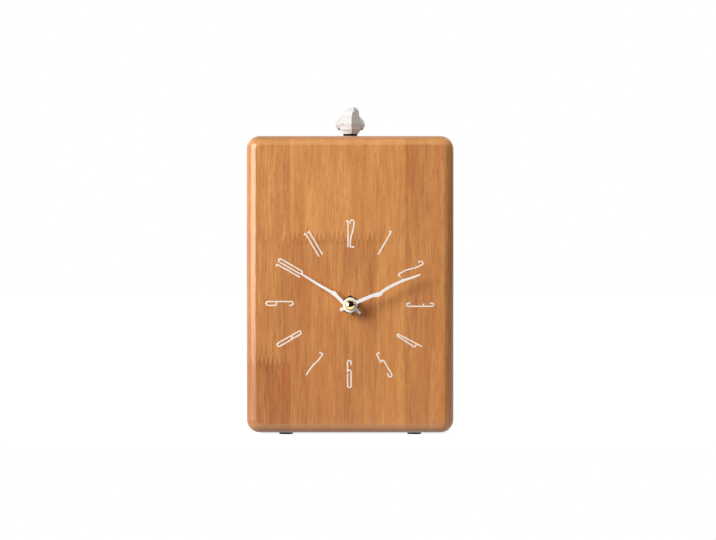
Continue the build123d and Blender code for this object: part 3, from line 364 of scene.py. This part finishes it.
def wound_copper():
    """Enamelled copper wire wound in layers: orange metal under clear enamel, ribbed by its turns."""
    sockets = {"Metallic": 0.85, "Coat Weight": 0.4}
    material, tree, shader, place = start_finish("enamelled_copper_wire", sockets)
    # Turns 0.35 mm apart: the real wire is 0.1 mm, too fine to show
    turns = add(tree, "TexWave", {"Vector": place, "Scale": 0.9, "Distortion": 0.4}, bands_direction="Y")
    # Painted shade and highlight: the copper is darker in the grooves between turns and paler on their crowns
    colour = add(tree, "Mix", {0: turns, 6: linear("#8E4720"), 7: linear("#D98A4E")}, data_type="RGBA")
    gloss = add(tree, "MapRange", {"Value": turns, "To Min": 0.45, "To Max": 0.25})
    link_finish(tree, shader, colour, gloss, turns, 0.1)
    return material


def cell_sleeve():
    """AA cell in a plain shrunk sleeve, with a band at its positive end and bare steel at both ends."""
    material, tree, shader, place = start_finish("shrunk_cell_sleeve", {"Coat Weight": 0.3})
    axes = tree.nodes.new("ShaderNodeSeparateXYZ")
    tree.links.new(place, axes.inputs[0])
    x = axes.outputs["X"]
    band_start = CELL_LOW.x + COLLAR_START * (CELL_HIGH.x - CELL_LOW.x)
    band = add(tree, "Math", {0: x, 1: band_start}, operation="GREATER_THAN")
    past_right = add(tree, "Math", {0: x, 1: CELL_HIGH.x - BARE_BUTTON}, operation="GREATER_THAN")
    past_left = add(tree, "Math", {0: x, 1: CELL_LOW.x + BARE_BASE}, operation="LESS_THAN")
    bare = add(tree, "Math", {0: past_right, 1: past_left}, operation="MAXIMUM")
    cells = add(tree, "VectorMath", {0: place, 1: (6, 1.2, 1.2)}, operation="DIVIDE")
    scuffs = add(tree, "TexNoise", {"Vector": cells, "Scale": 1.0, "Detail": 3.0})
    share = add(tree, "MapRange", {"Value": scuffs, "From Min": 0.3, "From Max": 0.7})
    sleeve = add(tree, "Mix", {0: share, 6: linear("#3F6FA3"), 7: linear("#4B7DB3")}, data_type="RGBA")
    collar = add(tree, "Mix", {0: share, 6: linear("#C9A24A"), 7: linear("#D6B25E")}, data_type="RGBA")
    colour = add(tree, "Mix", {0: band, 6: sleeve, 7: collar}, data_type="RGBA")
    colour = add(tree, "Mix", {0: bare, 6: colour, 7: linear("#C4C4C2")}, data_type="RGBA")
    gloss = add(tree, "MapRange", {"Value": share, "To Min": 0.24, "To Max": 0.36})
    link_finish(tree, shader, colour, gloss, scuffs, 0.03)
    tree.links.new(bare, shader.inputs["Metallic"])
    return material


FINISHES = {
    "finger_jointed_wood": finger_jointed_wood(),
    # Sprayed lacquer on stamped sheet: even warm white with a faint orange peel
    "white_lacquer": speckled("sprayed_white_lacquer", ("#F8F6F1", "#FDFBF6"), 0.8, {}, (0.34, 0.42), 0.02),
    # Moulded resin with a satin skin: near white, lets a little light in
    "white_resin": speckled(
        "moulded_white_resin", ("#DAD9D8", "#E1E0DF"), 1.6,
        {"Subsurface Weight": 0.08, "Subsurface Scale": 0.002}, (0.42, 0.52), 0.03,
    ),
    "brass": turned_brass(),
    # Moulded rubber: deep brown-black, no shine
    "black_rubber": speckled("moulded_black_rubber", ("#120E0C", "#1F1A17"), 0.5, {}, (0.75, 0.9), 0.05),
    # Moulded ABS from a spark-eroded tool: black with a fine even grit
    "black_plastic": speckled("moulded_black_abs", ("#151516", "#212122"), 0.45, {}, (0.42, 0.6), 0.05),
    # Moulded acetal, undyed: milky white and waxy
    "natural_acetal": speckled(
        "moulded_acetal", ("#E4E0D4", "#EFECE2"), 1.0,
        {"Subsurface Weight": 0.15, "Subsurface Scale": 0.001}, (0.34, 0.44), 0.02,
    ),
    "steel": plated_steel(),
    "copper_wire": wound_copper(),
    # Sintered magnet, nickel plated: darker and softer than steel
    "magnet": speckled(
        "nickel_plated_magnet", ("#8F8D89", "#A9A7A2"), 0.8, {"Metallic": 1.0}, (0.24, 0.36), 0.02,
    ),
    # Glass-fibre board under green solder mask: the weave shows faintly
    "circuit_board": speckled(
        "solder_masked_board", ("#1C5A35", "#27713F"), 0.9, {"Coat Weight": 0.2}, (0.3, 0.42), 0.03,
    ),
    "cell_sleeve": cell_sleeve(),
}
# Screen-printed ink: a thin warm white film
PRINTED_INK = speckled("screen_printed_ink", ("#F6E6D4", "#FDF3E6"), 0.9, {}, (0.45, 0.55), 0.01)

# Width of the broken edges of the pieces that stand in view, in mm
EDGE_BREAKS = {
    "minute_hand": 0.15,
    "hour_hand": 0.15,
    "hex_nut": 0.45,
    "bird": 0.15,
    "setting_knob": 0.15,
    "swing_arm": 0.2,
    "movement_rear_shell": 0.3,
    "counterweight": 0.4,
}


def finish_solids():
    """Gives every solid its material, and the pieces that stand in view a finely broken edge."""
    for part in frame["record"]["subparts"]:
        solid = frame["nodes"][part["node"]]
        solid.material_slots[0].material = FINISHES[part["material_slot"]]
    for name, width in EDGE_BREAKS.items():
        edge = frame["nodes"][name].modifiers.new("edge_break", "BEVEL")
        edge.width = width * MM
        edge.segments = 2
        edge.limit_method = "ANGLE"
        edge.angle_limit = math.radians(25)
        edge.harden_normals = True


def rounded(corners):
    """Points along a stroke whose inner corners are turned into arcs."""
    corners = [Vector(corner) for corner in corners]
    path = [corners[0]]
    for before, corner, after in zip(corners, corners[1:], corners[2:]):
        reach = 0.49 * min((before - corner).length, (after - corner).length)
        start = corner + reach * (before - corner).normalized()
        end = corner + reach * (after - corner).normalized()
        # Handles that make a right-angled corner a quarter circle
        path += interpolate_bezier(start, start.lerp(corner, 0.5523), end.lerp(corner, 0.5523), end, 7)
    return path + [corners[-1]]


def raise_strokes(name, strokes, face_y, width, height, finish):
    """Round-ended strokes in x and z, in mm, as a thin raised film on an upright face."""
    curve = bpy.data.curves.new(name, "CURVE")
    curve.dimensions = "3D"
    curve.bevel_depth = width / 2
    curve.bevel_resolution = 2
    curve.use_fill_caps = True
    for stroke in strokes:
        closed = stroke[0] == stroke[-1]
        path = rounded(stroke)[1:] if closed else rounded(stroke)
        spline = curve.splines.new("POLY")
        spline.points.add(len(path) - 1)
        spline.use_cyclic_u = closed
        for knot, (x, z) in zip(spline.points, path):
            knot.co = (x, 0, z, 1)
    drawn = bpy.data.objects.new(name, curve)
    mesh = bpy.data.meshes.new_from_object(drawn)
    bpy.data.objects.remove(drawn)
    flatten = Matrix.Diagonal((1, 2 * height / width, 1, 1))
    mesh.transform(Matrix.Scale(MM, 4) @ Matrix.Translation((0, face_y, 0)) @ flatten)
    mesh.polygons.foreach_set("use_smooth", [True] * len(mesh.polygons))
    mesh.materials.append(finish)
    film = bpy.data.objects.new(name, mesh)
    bpy.context.scene.collection.objects.link(film)
    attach(film, "case")


def print_numeral(hour, digits, tops_out):
    """One numeral of the dial, with its axis on the dial's radius."""
    turn = math.radians(30 * hour)
    out = Vector((math.sin(turn), math.cos(turn)))
    up = out if tops_out else -out
    aside = Vector((up.y, -up.x))
    radius = DIAL_INNER_RADIUS if tops_out else DIAL_OUTER_RADIUS
    base = Vector((0, CASE_LOW.z + DIAL_HEIGHT)) + radius * out
    strokes = [
        [tuple(base + aside * (across + x) + up * y) for x, y in stroke]
        for digit, across in digits
        for stroke in DIGITS[digit]
    ]
    name = f"numeral_{hour}"
    raise_strokes(name, strokes, CASE_LOW.y, INK_STROKE, INK_HEIGHT, PRINTED_INK)


def print_marks():
    """Plus and minus over the ends of the cell, and an arrow for the way that the knob sets the hands."""
    height = CELL_HIGH.z + MARK_RISE
    plus, minus = CELL_HIGH.x - MARK_INSET, CELL_LOW.x + MARK_INSET
    strokes = [
        [(plus - MARK_REACH, height), (plus + MARK_REACH, height)],
        [(plus, height - MARK_REACH), (plus, height + MARK_REACH)],
        [(minus - MARK_REACH, height), (minus + MARK_REACH, height)],
    ]
    turns = [math.radians(degrees) for degrees in ARROW_DEGREES]
    arc = [(KNOB.x + ARROW_RADIUS * math.cos(turn), KNOB.z + ARROW_RADIUS * math.sin(turn)) for turn in turns]
    tip = Vector(arc[-1])
    strokes.append(arc)
    strokes += [[tuple(tip + Vector(barb)), arc[-1]] for barb in ARROW_BARBS]
    raise_strokes("printed_marks", strokes, SHELL_REAR, MARK_STROKE, INK_HEIGHT, PRINTED_INK)


def set_floor():
    """White paper that takes the clock's shadow, and looks as white as the studio behind it."""
    mesh = bpy.data.meshes.new("floor")
    side, rear = FLOOR_SIZE / 2, FLOOR_FRONT + FLOOR_SIZE
    corners = [(-side, FLOOR_FRONT, 0), (side, FLOOR_FRONT, 0), (side, rear, 0), (-side, rear, 0)]
    mesh.from_pydata(corners, [], [(0, 1, 2, 3)])
    floor = bpy.data.objects.new("floor", mesh)
    bpy.context.scene.collection.objects.link(floor)
    material = bpy.data.materials.new("white_paper")
    material.use_nodes = True
    tree = material.node_tree
    shader = tree.nodes["Principled BSDF"]
    shader.inputs["Base Color"].default_value = linear("#B4B4B4")
    shader.inputs["Roughness"].default_value = 0.9
    shader.inputs["Emission Color"].default_value = (1, 1, 1, 1)
    glow = add(tree, "Math", {0: seen_directly(tree), 1: FLOOR_GLOW}, operation="MULTIPLY")
    tree.links.new(glow, shader.inputs["Emission Strength"])
    mesh.materials.append(material)


def set_flag():
    """Black flag before, over and to the right of the clock: the dark end of the studio, only mirrored."""
    mesh = bpy.data.meshes.new("flag")
    corners = []
    for degrees, half_width in FLAG_ARCH:
        rise = math.radians(degrees)
        y, z = -FLAG_RADIUS * math.cos(rise), FLAG_RADIUS * math.sin(rise)
        corners += [(-half_width, y, z), (half_width, y, z)]
    faces = [(at, at + 1, at + 3, at + 2) for at in range(0, len(corners) - 2, 2)]
    wing = [(FLAG_WING, y, z) for y, z in FLAG_WING_CORNERS]
    faces.append(tuple(range(len(corners), len(corners) + 4)))
    mesh.from_pydata(corners + wing, [], faces)
    flag = bpy.data.objects.new("flag", mesh)
    bpy.context.scene.collection.objects.link(flag)
    material = bpy.data.materials.new("black_cloth")
    material.use_nodes = True
    shader = material.node_tree.nodes["Principled BSDF"]
    shader.inputs["Base Color"].default_value = linear("#202020")
    shader.inputs["Roughness"].default_value = 1.0
    mesh.materials.append(material)
    flag.visible_camera = flag.visible_diffuse = flag.visible_shadow = False


def set_world():
    """White studio to look at, and a softer even light from it."""
    world = bpy.data.worlds.new("studio")
    bpy.context.scene.world = world
    world.use_nodes = True
    tree = world.node_tree
    background = tree.nodes["Background"]
    background.inputs["Color"].default_value = (1, 1, 1, 1)
    strength = add(tree, "MapRange", {"Value": seen_directly(tree), "To Min": AMBIENT, "To Max": 1.0})
    tree.links.new(strength, background.inputs["Strength"])


def set_softbox(name, aim, distance, shape, power):
    """Softbox that faces a point from the left and above, by a row of values such as KEY_BOX."""
    left, up, width, height = shape
    lamp = bpy.data.lights.new(name, "AREA")
    lamp.shape = "RECTANGLE"
    lamp.size, lamp.size_y = width, height
    lamp.energy = power
    box = bpy.data.objects.new(name, lamp)
    turn, rise = math.radians(left), math.radians(up)
    direction = Vector((-math.sin(turn) * math.cos(rise), -math.cos(turn) * math.cos(rise), math.sin(rise)))
    box.location = aim + direction * distance
    box.rotation_euler = direction.to_track_quat("Z", "Y").to_euler()
    bpy.context.scene.collection.objects.link(box)
    return box


def set_lamps():
    """Key that casts the shadows, strip that lacquer and brass mirror, and small card that fills the bird."""
    case = Vector((0, 0, (CASE_LOW.z + CASE_HIGH.z) / 2)) * MM
    key = set_softbox("key", case, LAMP_DISTANCE, KEY_BOX, KEY_POWER)
    key.visible_glossy = False
    strip = set_softbox("strip", case, LAMP_DISTANCE, STRIP_BOX, STRIP_POWER)
    strip.visible_diffuse = False
    bird = (BIRD_LOW + BIRD_HIGH) / 2 * MM
    card = set_softbox("card", bird, CARD_DISTANCE, CARD_BOX, CARD_POWER)
    card.visible_glossy = False


def set_camera():
    """Straight view of the front, from far enough to flatten it as the photograph does."""
    data = bpy.data.cameras.new("camera")
    data.sensor_width = SENSOR_WIDTH
    data.lens = SENSOR_WIDTH * VIEW_DISTANCE / VIEW_WIDTH
    camera = bpy.data.objects.new("camera", data)
    camera.location = (VIEW_CENTRE.x, CASE_LOW.y * MM - VIEW_DISTANCE, VIEW_CENTRE.z)
    camera.rotation_euler = (math.radians(90), 0, 0)
    bpy.context.scene.collection.objects.link(camera)
    bpy.context.scene.camera = camera


finish_solids()
for numeral in NUMERALS:
    print_numeral(*numeral)
print_marks()
set_floor()
set_flag()
set_world()
set_lamps()
set_camera()
bpy.context.scene.view_settings.view_transform = "Standard"
